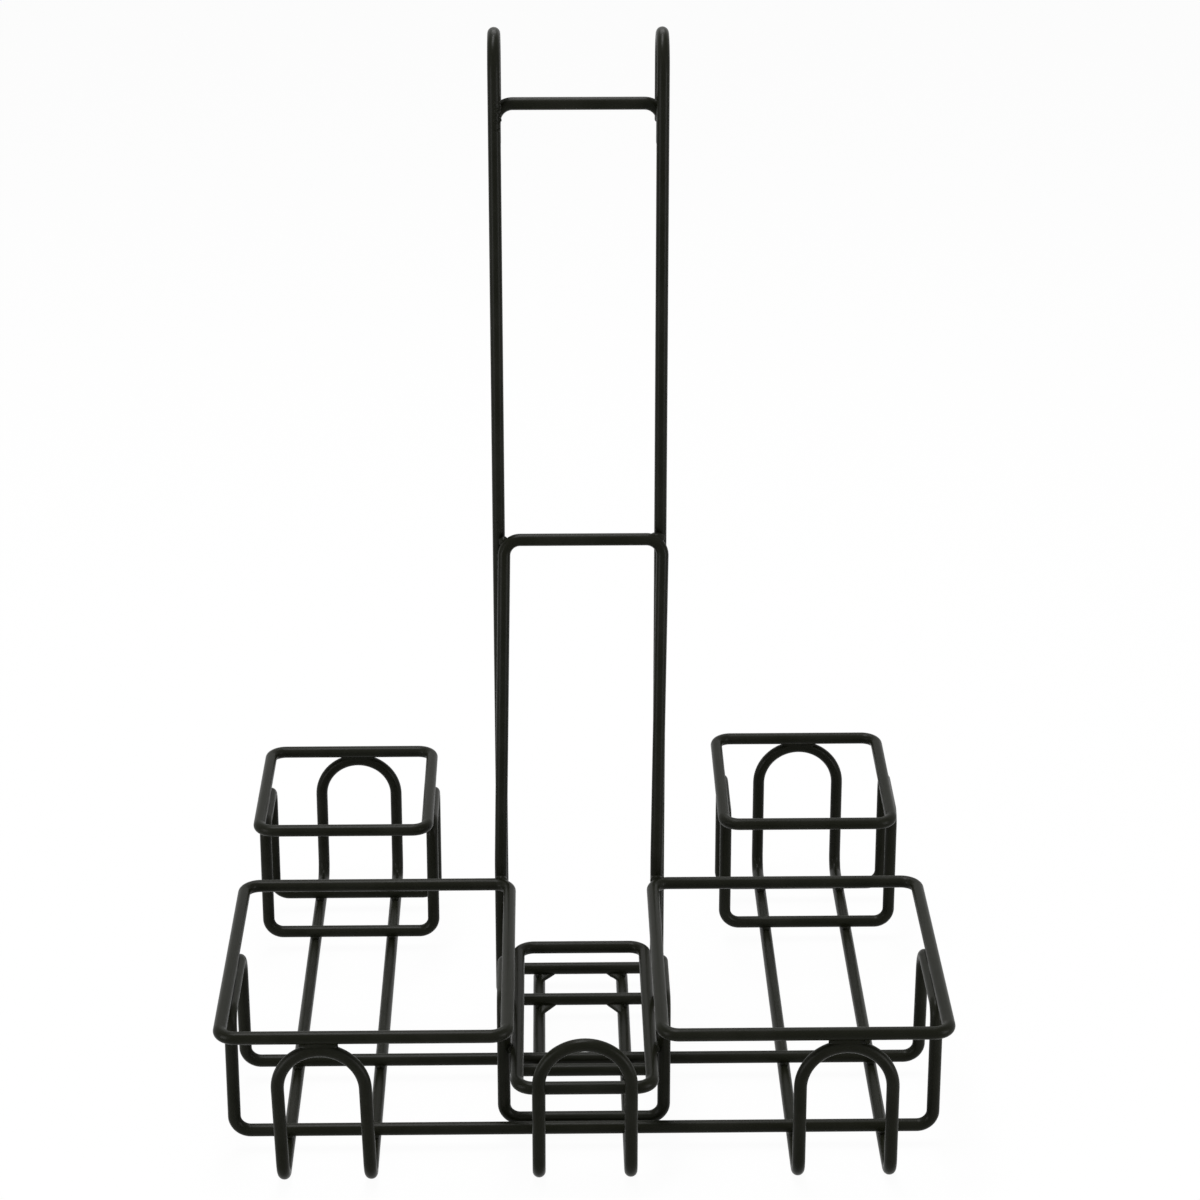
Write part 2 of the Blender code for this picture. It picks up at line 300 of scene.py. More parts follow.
class Value:
    """A number or colour socket in a node tree that takes part in Python sums."""

    def __init__(self, nodes, socket):
        self.nodes = nodes
        self.socket = socket

    def math(self, operation, first, second):
        return self.nodes.add("ShaderNodeMath", {"operation": operation}, {0: first, 1: second})

    def __add__(self, other):
        return self.math("ADD", self, other)

    __radd__ = __add__

    def __mul__(self, other):
        return self.math("MULTIPLY", self, other)

    __rmul__ = __mul__

    def __sub__(self, other):
        return self.math("SUBTRACT", self, other)

    def __rsub__(self, other):
        return self.math("SUBTRACT", other, self)


class Nodes:
    """The node tree of one material or world."""

    def __init__(self, tree):
        self.tree = tree
        tree.nodes.clear()

    def add(self, kind, settings=None, inputs=None, output=0):
        """A node of any type, with its settings, then the values or links of its sockets."""
        node = self.tree.nodes.new(kind)
        for name, value in (settings or {}).items():
            if name == "stops":
                self.set_stops(node.color_ramp, value)
            else:
                setattr(node, name, value)
        for key, value in (inputs or {}).items():
            if isinstance(value, Value):
                self.tree.links.new(value.socket, node.inputs[key])
            else:
                node.inputs[key].default_value = value
        return Value(self, node.outputs[output]) if len(node.outputs) else node

    @staticmethod
    def set_stops(ramp, stops):
        while len(ramp.elements) < len(stops):
            ramp.elements.new(1.0)
        for element, (position, level) in zip(ramp.elements, stops):
            element.position = position
            element.color = (level, level, level, 1.0)


def opaque(colour):
    return (colour[0], colour[1], colour[2], 1.0)


def coating_material(name, seed):
    """Satin powder coating: orange peel, cloudy gloss and faint dusty patches."""
    finish = bpy.context.scene.caddy_finish
    material = bpy.data.materials.new(name)
    material.use_nodes = True
    nodes = Nodes(material.node_tree)
    place = nodes.add("ShaderNodeTexCoord", output="Object")
    shifted = nodes.add("ShaderNodeMapping", None,
                        {"Vector": place,
                         "Location": tuple(seed * step for step in SHIFT_PER_PIECE)})
    cloud, grit, peel, wave = (
        nodes.add("ShaderNodeTexNoise", None, {"Vector": shifted, **pattern})
        for pattern in (CLOUD, GRIT, PEEL, WAVE))
    patch = nodes.add("ShaderNodeValToRGB", {"stops": PATCH_STOPS}, {"Fac": cloud})
    speck = nodes.add("ShaderNodeValToRGB", {"stops": SPECK_STOPS}, {"Fac": grit})
    dusty = patch * PATCH_DUST + speck * SPECK_DUST
    colour = nodes.add("ShaderNodeMix", {"data_type": "RGBA"},
                       {"Factor": dusty, "A": opaque(finish.colour), "B": opaque(finish.dusty)},
                       output=2)
    gloss = (finish.gloss + (cloud - NOISE_MEAN) * CLOUD_GLOSS
             + (grit - NOISE_MEAN) * GRIT_GLOSS)
    relief = peel * PEEL_RELIEF + wave * WAVE_RELIEF + grit * GRIT_RELIEF
    bump = nodes.add("ShaderNodeBump", None,
                     {"Height": relief, "Strength": RELIEF_STRENGTH, "Distance": finish.peel})
    shader = nodes.add("ShaderNodeBsdfPrincipled", None,
                       {"Base Color": colour, "Roughness": gloss, "Normal": bump,
                        "Specular IOR Level": finish.specular})
    nodes.add("ShaderNodeOutputMaterial", None, {"Surface": shader})
    material.diffuse_color = opaque(finish.colour)
    return material


class WireBender:
    """Feeds and bends one round wire, as a forming machine does."""

    def __init__(self, start, heading):
        self.sizes = bpy.context.scene.caddy_wire
        self.mesh = bmesh.new()
        self.tip = Vector(start)
        self.heading = heading
        facing = heading.to_track_quat("Z", "Y").to_matrix().to_4x4()
        bmesh.ops.create_circle(self.mesh, segments=self.sizes.sides, radius=HALF,
                                matrix=Matrix.Translation(self.tip) @ facing)
        self.rim = list(self.mesh.edges)

    def feed(self, length):
        """Push the wire straight on, with rings of points along it."""
        if length < MERGE:
            return
        pushes = math.ceil(length / self.sizes.feed_step)
        for _ in range(pushes):
            self.extrude(length / pushes)

    def extrude(self, length):
        grown = bmesh.ops.extrude_edge_only(self.mesh, edges=self.rim)["geom"]
        verts = [part for part in grown if isinstance(part, bmesh.types.BMVert)]
        new = set(verts)
        self.rim = [part for part in grown
                    if isinstance(part, bmesh.types.BMEdge) and new.issuperset(part.verts)]
        bmesh.ops.translate(self.mesh, verts=verts, vec=self.heading * length)
        self.tip += self.heading * length

    def bend(self, onward, radius):
        """Bend the wire until it heads onward."""
        angle = self.heading.angle(onward)
        toward = (onward - self.heading * self.heading.dot(onward)).normalized()
        centre = self.tip + toward * radius
        axis = self.heading.cross(toward)
        turned = bmesh.ops.spin(
            self.mesh, geom=self.rim, cent=centre, axis=axis, angle=angle,
            steps=math.ceil(angle / self.sizes.bend_step), use_duplicate=False)["geom_last"]
        self.rim = [part for part in turned if isinstance(part, bmesh.types.BMEdge)]
        self.tip = centre + Matrix.Rotation(angle, 3, axis) @ (self.tip - centre)
        self.heading = onward

    def close(self):
        """Butt-weld the two ends of a loop."""
        bmesh.ops.remove_doubles(self.mesh, verts=self.mesh.verts, dist=MERGE)

    def cap(self):
        """Cut the ends square and break their rims."""
        ends = [edge for edge in self.mesh.edges if edge.is_boundary]
        bmesh.ops.holes_fill(self.mesh, edges=ends, sides=self.sizes.sides)
        bmesh.ops.bevel(self.mesh, geom=ends, offset=self.sizes.end_round, offset_type="OFFSET",
                        segments=4, profile=0.5, affect="EDGES", material=-1)


def keep(name, mesh, node=None):
    """Make a finished bmesh into a piece that rides on the caddy."""
    bmesh.ops.recalc_face_normals(mesh, faces=mesh.faces)
    shape = bpy.data.meshes.new(name)
    mesh.to_mesh(shape)
    mesh.free()
    shape.shade_smooth()
    shape.set_sharp_from_angle(angle=SHARP_ANGLE)
    shape.materials.append(coating_material(name + "_coating", len(bpy.data.materials)))
    piece = bpy.data.objects.new(name, shape)
    bpy.context.scene.collection.objects.link(piece)
    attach(piece, BODY)
    if node:
        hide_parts(node)
    return piece


def wire(node, corners, closed=True):
    """A wire through its corner points, each given with the radius of its bend."""
    points = [Vector(point) for point, _ in corners]
    radii = [radius for _, radius in corners]
    if closed:
        start = (points[-1] + points[0]) / 2
        points = [start] + points + [start]
        radii = [0.0] + radii + [0.0]
    bender = WireBender(points[0], (points[1] - points[0]).normalized())
    used = 0.0
    for i in range(1, len(points) - 1):
        onward = (points[i + 1] - points[i]).normalized()
        reach = radii[i] * math.tan(bender.heading.angle(onward) / 2)
        bender.feed((points[i] - points[i - 1]).length - used - reach)
        bender.bend(onward, radii[i])
        used = reach
    bender.feed((points[-1] - points[-2]).length - used)
    if closed:
        bender.close()
    else:
        bender.cap()
    piece = keep(node + "_wire", bender.mesh, node)
    return piece


def ring(node):
    """A rectangular loop, level or rising to the back, sized by its solid."""
    bend = bpy.context.scene.caddy_wire.ring_bend
    reach = NODES[node]
    stops = [(reach.left, reach.front, reach.low), (reach.right, reach.front, reach.low),
             (reach.right, reach.back, reach.top), (reach.left, reach.back, reach.top)]
    wire(node, [(stop, bend) for stop in stops])


def ring_height(side, y):
    """Height of a small ring's side wires at a place along them."""
    reach = NODES[side + "_small_ring"]
    share = (y - reach.front) / (reach.back - reach.front)
    return reach.low + (reach.top - reach.low) * share


def cradle(node, front_top, back_top, lean=0.0, rear_bend=None):
    """A loop bent into two uprights a side, sized by its solid."""
    bend = bpy.context.scene.caddy_wire.cradle_bend
    reach = NODES[node]
    rail_end = (reach.back - lean, back_top)
    rear_bend = rear_bend or bend
    wire(node, [((reach.right, reach.front, reach.low), bend),
                ((reach.right, reach.front, front_top), bend),
                ((reach.right, *rail_end), rear_bend),
                ((reach.right, reach.back, reach.low), bend),
                ((reach.left, reach.back, reach.low), bend),
                ((reach.left, *rail_end), rear_bend),
                ((reach.left, reach.front, front_top), bend),
                ((reach.left, reach.front, reach.low), bend)])


def rear_arch_top(side):
    """Height of a rear arch, which lies under and just behind its small ring's wire."""
    small = NODES[side + "_small_ring"]
    setback = NODES[side + "_sled"].back - small.back
    return small.top - math.sqrt(SEAT ** 2 - setback ** 2)


def runners(side):
    """Where a sled's two runners lie across the caddy."""
    reach = NODES[side + "_sled"]
    if side == "left":
        return reach.right - bpy.context.scene.caddy_wire.left_sled_width, reach.right
    return reach.left, reach.right


def front_lean(side):
    """How far the crown of a sled's front arch lies to the left of its feet's middle."""
    return bpy.context.scene.caddy_wire.left_arch_lean if side == "left" else 0.0


def small_rail(side, y):
    """Height of a small cradle's rails, which lie under their ring's side wires."""
    shift = NODES[side + "_small_cradle"].left - NODES[side + "_small_ring"].left
    return ring_height(side, y) - math.sqrt(SEAT ** 2 - shift ** 2)


class CADDY_OT_sleds(bpy.types.Operator):
    """Bend the two long sleds and the short one in the middle."""

    bl_idname = "caddy.sleds"
    bl_label = "Sleds"

    def execute(self, context):
        foot = context.scene.caddy_wire.foot_bend
        front_top = RING_Z - SEAT
        for side in SIDES:
            reach = NODES[side + "_sled"]
            left, right = runners(side)
            front, back = reach.front, reach.back
            arch = (right - left) / 2
            rear_top = rear_arch_top(side)
            piece = wire(side + "_sled",
                         [((left, front, RUNNER_Z), foot), ((left, front, front_top), arch),
                          ((right, front, front_top), arch), ((right, front, RUNNER_Z), foot),
                          ((right, back, RUNNER_Z), foot), ((right, back, rear_top), arch),
                          ((left, back, rear_top), arch), ((left, back, RUNNER_Z), foot)])
            slant = front_lean(side) / (front_top - RUNNER_Z)
            for vert in piece.data.vertices:
                if vert.co.y < front + foot - MERGE:
                    vert.co.x -= slant * (vert.co.z - RUNNER_Z)
        half = CENTRE_SLED.right
        front, top, end = CENTRE_SLED.front, CENTRE_SLED.top, CENTRE_RUNNER_END
        wire("centre_sled",
             [((-half, end, RUNNER_Z), 0.0), ((-half, front, RUNNER_Z), foot),
              ((-half, front, top), half), ((half, front, top), half),
              ((half, front, RUNNER_Z), foot), ((half, end, RUNNER_Z), 0.0)],
             closed=False)
        return {"FINISHED"}


class CADDY_OT_rings(bpy.types.Operator):
    """Bend the five rings that hold bottles and packets."""

    bl_idname = "caddy.rings"
    bl_label = "Rings"

    def execute(self, context):
        for side in SIDES:
            ring(side + "_large_ring")
            ring(side + "_small_ring")
        ring("centre_ring")
        return {"FINISHED"}


class CADDY_OT_cradles(bpy.types.Operator):
    """Bend the four cradles under the rings."""

    bl_idname = "caddy.cradles"
    bl_label = "Cradles"

    def execute(self, context):
        sizes = context.scene.caddy_wire
        cradle("long_cradle", LONG_CRADLE.top, LONG_CRADLE.top, sizes.cradle_lean,
               sizes.rail_rear_bend)
        cradle("centre_cradle", CENTRE_CRADLE.top, CENTRE_CRADLE.top)
        for side in SIDES:
            reach = NODES[side + "_small_cradle"]
            cradle(side + "_small_cradle", small_rail(side, reach.front),
                   small_rail(side, reach.back))
        return {"FINISHED"}


class CADDY_OT_handle(bpy.types.Operator):
    """Bend the handle with its two hooks, and the crossbar behind it."""

    bl_idname = "caddy.handle"
    bl_label = "Handle"

    def execute(self, context):
        sizes = context.scene.caddy_wire
        roll = (HANDLE.back - HANDLE.front) / 2
        half, front, back, top = HANDLE.right, HANDLE.front, HANDLE.back, HANDLE.top
        tip = top - sizes.hook_length
        wire("handle",
             [((-half, back, tip), 0.0), ((-half, back, top), roll),
              ((-half, front, top), roll), ((-half, front, BAR_Z), sizes.frame_bend),
              ((half, front, BAR_Z), sizes.frame_bend), ((half, front, top), roll),
              ((half, back, top), roll), ((half, back, tip), 0.0)],
             closed=False)
        behind, bar = CROSSBAR.back, CROSSBAR.top
        wire("handle_crossbar",
             [((-half, behind, CROSSBAR_FOOT), 0.0), ((-half, behind, bar), sizes.crossbar_bend),
              ((half, behind, bar), sizes.crossbar_bend), ((half, behind, CROSSBAR_FOOT), 0.0)],
             closed=False)
        return {"FINISHED"}


def brace_corners():
    """The middles of the brace's left foot, right foot, left top and right top corners."""
    width = 2 * (HANDLE.right - bpy.context.scene.caddy_wire.brace_clearance)
    top_y = HANDLE.front - SEAT
    return ((BRACE.left, BRACE.front, BAR_Z), (BRACE.left + width, BRACE.front, BAR_Z),
            (BRACE.right - width, top_y, BRACE.top), (BRACE.right, top_y, BRACE.top))


class CADDY_OT_brace(bpy.types.Operator):
    """Bend the brace that leans on the handle."""

    bl_idname = "caddy.brace"
    bl_label = "Brace"

    def execute(self, context):
        sizes = context.scene.caddy_wire
        knee = RING_Z + sizes.knee_rise
        bend = sizes.frame_bend
        left_foot, right_foot, left_top, right_top = brace_corners()
        wire("brace",
             [(left_foot, bend), ((*left_foot[:2], knee), sizes.knee_bend),
              (left_top, bend), (right_top, bend),
              ((*right_foot[:2], knee), sizes.knee_bend), (right_foot, bend)])
        return {"FINISHED"}


def weld(name, mesh):
    """Keep weld metal as a piece with its own coating, made like the wires' coatings."""
    keep(name, mesh)


def roughen(mesh, verts, depth, scale, seed):
    """Push the surface in and out by smooth noise."""
    mesh.normal_update()
    shift = Vector([seed * step for step in SHIFT_PER_SEED])
    moves = [vert.normal * noise.noise(vert.co * scale + shift) * depth for vert in verts]
    for vert, move in zip(verts, moves):
        vert.co += move


def frame_along(normal):
    """A turn that stands the z axis on a direction."""
    return Vector(normal).to_track_quat("Z", "Y").to_matrix().to_4x4()


def nugget(mesh, place, normal, seed, size=1.0):
    """Weld metal squeezed out between two crossing wires: waisted, and wider on each wire."""
    sizes = bpy.context.scene.caddy_welds
    draw = random.Random(seed)
    radius = sizes.nugget_radius * size * draw.uniform(*NUGGET_SPREAD)
    height = sizes.nugget_height * size
    verts = bmesh.ops.create_uvsphere(mesh, u_segments=20, v_segments=12, radius=1.0)["verts"]
    for vert in verts:
        level = vert.co.z
        waist = NUGGET_WAIST + NUGGET_FLARE * level ** 2
        vert.co = Vector((vert.co.x * waist * radius, vert.co.y * waist * radius, level * height))
    bmesh.ops.transform(mesh, verts=verts,
                        matrix=Matrix.Translation(Vector(place)) @ frame_along(normal))
    roughen(mesh, verts, sizes.lumps, NUGGET_LUMPS, seed)


def fillet_section(first, second, along, spread):
    """Points round a weld that joins two wires side by side, hollow on both faces."""
    gap = second - first
    half_gap = gap.length / 2
    across = gap.normalized()
    outward = across.cross(along).normalized()
    middle = (first + second) / 2
    hollow = half_gap / math.cos(spread) - HALF
    points = []
    for face in (1.0, -1.0):
        centre = middle + outward * face * half_gap * math.tan(spread)
        arc = []
        for step in range(2 * FILLET_STEPS + 1):
            turn = (math.pi / 2 - spread) * (step / FILLET_STEPS - 1.0)
            inward = -outward * face * math.cos(turn) + across * math.sin(turn)
            arc.append(centre + inward * (hollow + FILLET_OVERLAP))
        points += arc if face > 0 else arc[::-1]
    return points


def seam(mesh, first_path, second_path, spread, seed, lumps):
    """Weld metal along two wires, given as matching points on their middles."""
    count = len(first_path)
    rim = None
    for i, (first, second) in enumerate(zip(first_path, second_path)):
        ahead = min(i + 1, count - 1)
        behind = max(i - 1, 0)
        along = (first_path[ahead] - first_path[behind]).normalized()
        share = abs(2 * i / (count - 1) - 1)
        opening = spread * (1 - SEAM_TAPER * share ** SEAM_TAPER_POWER)
        points = fillet_section(first, second, along, opening)
        if rim is None:
            verts = [mesh.verts.new(point) for point in points]
            edges = [mesh.edges.new((verts[k], verts[(k + 1) % len(verts)]))
                     for k in range(len(verts))]
            made = list(verts)
        else:
            order = {vert: k for k, vert in enumerate(rim[0])}
            grown = bmesh.ops.extrude_edge_only(mesh, edges=rim[1])["geom"]
            fresh = [part for part in grown if isinstance(part, bmesh.types.BMVert)]
            new = set(fresh)
            edges = [part for part in grown
                     if isinstance(part, bmesh.types.BMEdge) and new.issuperset(part.verts)]
            verts = [None] * len(points)
            for vert in fresh:
                old = next(edge.other_vert(vert) for edge in vert.link_edges
                           if edge.other_vert(vert) in order)
                verts[order[old]] = vert
            for vert, point in zip(verts, points):
                vert.co = point
            made += verts
        rim = (verts, edges)
    ends = [edge for vert in made for edge in vert.link_edges if edge.is_boundary]
    bmesh.ops.holes_fill(mesh, edges=list(dict.fromkeys(ends)), sides=len(points))
    roughen(mesh, made, lumps, SEAM_LUMPS, seed)


def straight(start, end):
    """Points along a straight wire."""
    start, end = Vector(start), Vector(end)
    return [start.lerp(end, i / (SEAM_STATIONS - 1)) for i in range(SEAM_STATIONS)]


def arch_path(middle, y, top, radius, length):
    """Points over the crown of an arch."""
    path = []
    for i in range(SEAM_STATIONS):
        x = length * (i / (SEAM_STATIONS - 1) - 0.5)
        path.append(Vector((middle + x, y, top - radius + math.sqrt(radius ** 2 - x ** 2))))
    return path


class CADDY_OT_arch_welds(bpy.types.Operator):
    """Weld the four outer arches under their rings."""

    bl_idname = "caddy.arch_welds"
    bl_label = "Arch welds"

    def execute(self, context):
        sizes = context.scene.caddy_welds
        reach = sizes.arch_length / 2
        for seed, side in enumerate(SIDES):
            sled = NODES[side + "_sled"]
            small = NODES[side + "_small_ring"]
            left, right = runners(side)
            radius, middle = (right - left) / 2, (left + right) / 2
            mesh = bmesh.new()
            for x, y, z, arch_y, top in (
                    (middle - front_lean(side), sled.front, RING_Z, sled.front, RING_Z - SEAT),
                    (middle, small.back, small.top, sled.back, rear_arch_top(side))):
                over = straight((x - reach, y, z), (x + reach, y, z))
                under = arch_path(x, arch_y, top, radius, sizes.arch_length)
                seam(mesh, over, under, sizes.spread, seed + 1, sizes.lumps)
            if side == "right":
                dab(mesh, (middle + sizes.arch_length / 2, sled.front - sizes.bead_radius,
                           RING_Z - HALF), (sizes.bead_radius,) * 3, 7, sizes.lumps)
            weld(side + "_arch_welds", mesh)
        return {"FINISHED"}


class CADDY_OT_bar_welds(bpy.types.Operator):
    """Weld every bar to the runners that it crosses."""

    bl_idname = "caddy.bar_welds"
    bl_label = "Bar welds"

    def execute(self, context):
        centre = (CENTRE_SLED.left, CENTRE_SLED.right)
        outer = {side: runners(side) for side in SIDES}
        crossings = {
            "long_cradle": (outer["left"] + centre + outer["right"],
                            (LONG_CRADLE.front, LONG_CRADLE.back)),
            "centre_cradle": (centre, (CENTRE_CRADLE.front, CENTRE_CRADLE.back)),
            "brace": (centre, (BRACE.front,)),
            "handle": (centre, (HANDLE.front,))}
        for side in SIDES:
            reach = NODES[side + "_small_cradle"]
            crossings[side + "_small_cradle"] = (outer[side], (reach.front, reach.back))
        seed = 20
        for node, (columns, rows) in crossings.items():
            mesh = bmesh.new()
            for x in columns:
                for y in rows:
                    seed += 1
                    nugget(mesh, (x, y, (BAR_Z + RUNNER_Z) / 2), (0.0, 0.0, 1.0), seed)
            weld(node + "_foot_welds", mesh)
        return {"FINISHED"}


class CADDY_OT_rail_welds(bpy.types.Operator):
    """Weld the cradles' rails under the rings' side wires."""

    bl_idname = "caddy.rail_welds"
    bl_label = "Rail welds"

    def execute(self, context):
        sizes = context.scene.caddy_welds
        seed = 80
        outer = NODES["right_large_ring"].right
        inner = NODES["right_large_ring"].left
        for node, ring_x in (("long_cradle", outer), ("centre_cradle", inner)):
            reach = NODES[node]
            middle = (reach.front + reach.back) / 2
            mesh = bmesh.new()
            for sign in (-1.0, 1.0):
                seed += 1
                ends = [middle - sizes.seam_length / 2, middle + sizes.seam_length / 2]
                over = straight(*((sign * ring_x, y, RING_Z) for y in ends))
                under = straight(*((sign * reach.right, y, reach.top) for y in ends))
                seam(mesh, over, under, sizes.spread, seed, sizes.lumps)
            weld(node + "_rail_welds", mesh)
        for side in SIDES:
            reach = NODES[side + "_small_cradle"]
            small = NODES[side + "_small_ring"]
            middle = (reach.front + reach.back) / 2
            ends = [middle - sizes.seam_length / 2, middle + sizes.seam_length / 2]
            mesh = bmesh.new()
            for ring_x, rail_x in ((small.left, reach.left), (small.right, reach.right)):
                seed += 1
                over = straight(*((ring_x, y, ring_height(side, y)) for y in ends))
                under = straight(*((rail_x, y, small_rail(side, y)) for y in ends))
                seam(mesh, over, under, sizes.spread, seed, sizes.lumps)
            weld(side + "_small_cradle_rail_welds", mesh)
        return {"FINISHED"}


class CADDY_OT_centre_welds(bpy.types.Operator):
    """Weld the centre ring to the arch in front of it and to the cradle round it."""

    bl_idname = "caddy.centre_welds"
    bl_label = "Centre welds"

    def execute(self, context):
        mesh = bmesh.new()
        seed = 120
        for sign in (-1.0, 1.0):
            seed += 1
            nugget(mesh, (sign * CENTRE_SLED.right, (CENTRE_SLED.front + CENTRE_RING.front) / 2,
                          CENTRE_RING.low), (0.0, 1.0, 0.0), seed)
            for y in (CENTRE_CRADLE.front, CENTRE_CRADLE.back):
                seed += 1
                nugget(mesh, (sign * (CENTRE_RING.right + CENTRE_CRADLE.right) / 2, y,
                              CENTRE_RING.low), (1.0, 0.0, 0.0), seed)
        weld("centre_ring_welds", mesh)
        return {"FINISHED"}


def linked(start):
    """Every vertex of the shape that a vertex belongs to."""
    found, waiting = {start: None}, [start]
    while waiting:
        vert = waiting.pop()
        for edge in vert.link_edges:
            other = edge.other_vert(vert)
            if other not in found:
                found[other] = None
                waiting.append(other)
    return list(found)


def gusset(mesh, x, y, toward, wide, deep, seed):
    """Weld metal run down from a bar to the runner under it, in the corner in front of them."""
    bar_end = wide + HALF + GUSSET_SLACK
    runner_end = deep + HALF + GUSSET_SLACK
    high, low = BAR_Z - GUSSET_SLACK, RUNNER_Z + GUSSET_SLACK
    shape = [(0.0, 0.0, BAR_Z), (0.0, 0.0, RUNNER_Z), (0.0, -GUSSET_SIDE, high),
             (GUSSET_SIDE, 0.0, low), (bar_end, 0.0, BAR_Z - GUSSET_SUNK),
             (bar_end - GUSSET_SIDE, -GUSSET_SIDE, high),
             (0.0, -runner_end, RUNNER_Z + GUSSET_SUNK),
             (GUSSET_SIDE, GUSSET_SIDE - runner_end, low)]
    verts = [mesh.verts.new((x + toward * across, y + along, z)) for across, along, z in shape]
    hull = bmesh.ops.convex_hull(mesh, input=verts)
    bmesh.ops.delete(mesh, geom=hull["geom_interior"], context="VERTS")
    edges = [part for part in hull["geom"]
             if part.is_valid and isinstance(part, bmesh.types.BMEdge)]
    cut = bmesh.ops.subdivide_edges(mesh, edges=edges, cuts=GUSSET_CUTS,
                                    use_grid_fill=True)["geom_inner"]
    grown = linked(next(part for part in cut if isinstance(part, bmesh.types.BMVert)))
    for _ in range(GUSSET_SMOOTHINGS):
        bmesh.ops.smooth_vert(mesh, verts=grown, factor=0.5, use_axis_x=True, use_axis_y=True,
                              use_axis_z=True)
    roughen(mesh, grown, bpy.context.scene.caddy_welds.lumps, GUSSET_LUMPS, seed)


class CADDY_OT_gussets(bpy.types.Operator):
    """Fill the corners where the handle and the brace cross the centre runners."""

    bl_idname = "caddy.gussets"
    bl_label = "Gussets"

    def execute(self, context):
        sizes = context.scene.caddy_welds
        seed = 140
        for node, deep in (("handle", sizes.handle_gusset), ("brace", sizes.brace_gusset)):
            mesh = bmesh.new()
            for sign in (-1.0, 1.0):
                seed += 1
                gusset(mesh, sign * CENTRE_SLED.right, NODES[node].front, -sign,
                       sizes.gusset_width, deep, seed)
            weld(node + "_gussets", mesh)
        return {"FINISHED"}


def dab(mesh, place, half_sizes, seed, lumps):
    """A rounded lump of weld metal."""
    verts = bmesh.ops.create_icosphere(mesh, subdivisions=4, radius=1.0)["verts"]
    bmesh.ops.scale(mesh, verts=verts, vec=half_sizes)
    bmesh.ops.translate(mesh, verts=verts, vec=place)
    roughen(mesh, verts, lumps, SEAM_LUMPS, seed)


def spatter(mesh, place, turns, spread, count, seed):
    """Drops of weld metal stuck to an upright wire, between two turns from its front."""
    draw = random.Random(seed)
    x, y, z = place
    for _ in range(count):
        turn = draw.uniform(*turns)
        radius = draw.uniform(*DROP_RADII)
        sunk = HALF - radius * DROP_SUNK
        drop = bmesh.ops.create_icosphere(mesh, subdivisions=2, radius=radius)
        spot = Vector((x + sunk * math.sin(turn), y - sunk * math.cos(turn),
                       z + draw.uniform(-spread, spread)))
        bmesh.ops.translate(mesh, verts=drop["verts"], vec=spot)


def pit(mesh, place, facing):
    """The raised rim round a small hole in a weld."""
    circle = bmesh.ops.create_circle(mesh, segments=10, radius=PIT_RIM,
                                     matrix=Matrix.Rotation(math.pi / 2, 4, "X"))["verts"]
    edges = list(dict.fromkeys(edge for vert in circle for edge in vert.link_edges))
    bmesh.ops.translate(mesh, verts=circle, vec=(PIT_RADIUS, 0.0, 0.0))
    bmesh.ops.spin(mesh, geom=circle + edges, cent=(0.0, 0.0, 0.0), axis=(0.0, 0.0, 1.0),
                   angle=math.tau, steps=20, use_merge=True, use_duplicate=False)
    bmesh.ops.transform(mesh, verts=linked(circle[0]),
                        matrix=Matrix.Translation(Vector(place)) @ frame_along(facing))


class CADDY_OT_frame_welds(bpy.types.Operator):
    """Weld the brace to the rings and the handle, and the crossbar behind the handle."""

    bl_idname = "caddy.frame_welds"
    bl_label = "Frame welds"

    def execute(self, context):
        sizes = context.scene.caddy_welds
        left_foot, right_foot, left_top, right_top = brace_corners()
        mesh = bmesh.new()
        for seed, foot in ((161, left_foot), (162, right_foot)):
            nugget(mesh, (foot[0], (LARGE_BACK_Y + BRACE.front) / 2, RING_Z), (0.0, 1.0, 0.0),
                   seed, BRACE_NUGGET)
        self.weld_brace_tops(mesh, sizes, left_foot, right_foot, left_top, right_top)
        weld("brace_welds", mesh)
        mesh = bmesh.new()
        for seed, x in ((171, HANDLE.left), (172, HANDLE.right)):
            low = CROSSBAR_FOOT + CROSSBAR_WELD_FOOT
            high = CROSSBAR.top - CROSSBAR_WELD_HEAD
            seam(mesh, straight((x, HANDLE.front, low), (x, HANDLE.front, high)),
                 straight((x, CROSSBAR.back, low), (x, CROSSBAR.back, high)),
                 sizes.spread, seed, sizes.lumps)
        spatter(mesh, (HANDLE.left, HANDLE.front, CROSSBAR.top - CROSSBAR_SPATTER_DROP),
                turns=(0.0, 1.4), spread=0.0065, count=40, seed=173)
        weld("handle_crossbar_welds", mesh)
        return {"FINISHED"}

    @staticmethod
    def weld_brace_tops(mesh, sizes, left_foot, right_foot, left_top, right_top):
        knee = RING_Z + bpy.context.scene.caddy_wire.knee_rise
        for seed, foot, top, upright in ((163, left_foot, left_top, HANDLE.left),
                                         (164, right_foot, right_top, HANDLE.right)):
            lean = (Vector(top) - Vector((*foot[:2], knee))).normalized()
            high = Vector(top) - lean * BRACE_WELD_DROP
            low = high - lean * sizes.seam_length
            seam(mesh, straight((upright, HANDLE.front, low.z), (upright, HANDLE.front, high.z)),
                 straight(low, high), sizes.spread, seed, sizes.rough_lumps)
        front = HANDLE.front - HALF
        for seed, x, lumps, (across, along, up), half_sizes in (
                (166, HANDLE.left, sizes.lumps * 2, *LEFT_DAB),
                (167, HANDLE.right, sizes.lumps, *RIGHT_DAB)):
            dab(mesh, (x + across, front + along, BRACE.top + up), half_sizes, seed, lumps)
        pit(mesh, (HANDLE.right - PIT_INWARD, right_top[1] - HALF + PIT_SUNK,
                   BRACE.top - PIT_DROP), (0.0, -1.0, 0.0))
        spatter(mesh, (HANDLE.left, HANDLE.front, BRACE.top + BRACE_SPATTER_RISE),
                turns=(-0.3, 0.5), spread=0.0026, count=9, seed=165)


